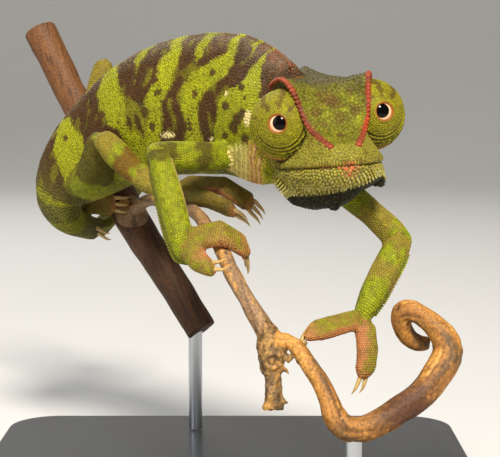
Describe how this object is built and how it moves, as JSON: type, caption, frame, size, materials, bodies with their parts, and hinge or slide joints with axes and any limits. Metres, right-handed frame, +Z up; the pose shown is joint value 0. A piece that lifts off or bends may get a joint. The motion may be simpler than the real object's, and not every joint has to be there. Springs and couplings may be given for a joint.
{
  "type": "chameleon on a perch, display model",
  "caption": "Life-size chameleon gripping a curled twig, with turret eyes, a high crest and a coiled tail, held over a plain display base by rods",
  "frame": {"origin": "middle of the base's underside, which rests on the table", "axes": "+Z up; the head looks towards -Y and a little towards +X; the body runs back towards -X and +Y"},
  "size_m": [0.112, 0.1222, 0.106],
  "materials": {
    "skin": "painted scaly skin, yellow-green with brown bands",
    "lids": "painted fine-scaled eyelids, yellow-green with brown flecks",
    "soles": "painted toes, olive with pinkish soles",
    "claws": "translucent-looking yellow horn",
    "eye": "glossy black pupil with a pale gold ring",
    "bark": "dry furrowed bark, tan to golden brown",
    "base_lacquer": "dark lacquer, satin",
    "rod_steel": "satin"
  },
  "bodies": {
    "root": {"eye_turret_left": "lids", "eye_turret_right": "lids", "eyeball_left": "eye", "eyeball_right": "eye", "far_fore_claw_inner_1": "claws", "far_fore_claw_inner_2": "claws", "far_fore_claw_inner_3": "claws", "far_fore_claw_outer_1": "claws", "far_fore_claw_outer_2": "claws", "far_fore_leg_lower": "skin", "far_fore_leg_upper": "skin", "far_fore_toes_inner": "soles", "far_fore_toes_outer": "soles", "far_hind_claw_inner_1": "claws", "far_hind_claw_inner_2": "claws", "far_hind_claw_outer_1": "claws", "far_hind_claw_outer_2": "claws", "far_hind_claw_outer_3": "claws", "far_hind_leg_lower": "skin", "far_hind_leg_upper": "skin", "far_hind_toes_inner": "soles", "far_hind_toes_outer": "soles", "head": "skin", "lower_jaw": "skin", "near_fore_claw_inner_1": "claws", "near_fore_claw_inner_2": "claws", "near_fore_claw_inner_3": "claws", "near_fore_claw_outer_1": "claws", "near_fore_claw_outer_2": "claws", "near_fore_leg_lower": "skin", "near_fore_leg_upper": "skin", "near_fore_toes_inner": "soles", "near_fore_toes_outer": "soles", "near_hind_claw_inner_1": "claws", "near_hind_claw_inner_2": "claws", "near_hind_claw_outer_1": "claws", "near_hind_claw_outer_2": "claws", "near_hind_claw_outer_3": "claws", "near_hind_leg_lower": "skin", "near_hind_leg_upper": "skin", "near_hind_toes_inner": "soles", "near_hind_toes_outer": "soles", "neck": "skin", "perch_arch": "bark", "perch_bend": "bark", "perch_branch": "bark", "perch_curl": "bark", "perch_knot": "bark", "perch_twig_grip": "bark", "perch_twig_rear": "bark", "stand_base": "base_lacquer", "stand_rod_front": "rod_steel", "stand_rod_rear": "rod_steel", "tail_base": "skin", "tail_bend": "skin", "tail_coil": "skin", "tail_coil_inner": "skin", "tail_tip": "skin", "throat": "skin", "trunk": "skin"}
  },
  "joints": []
}
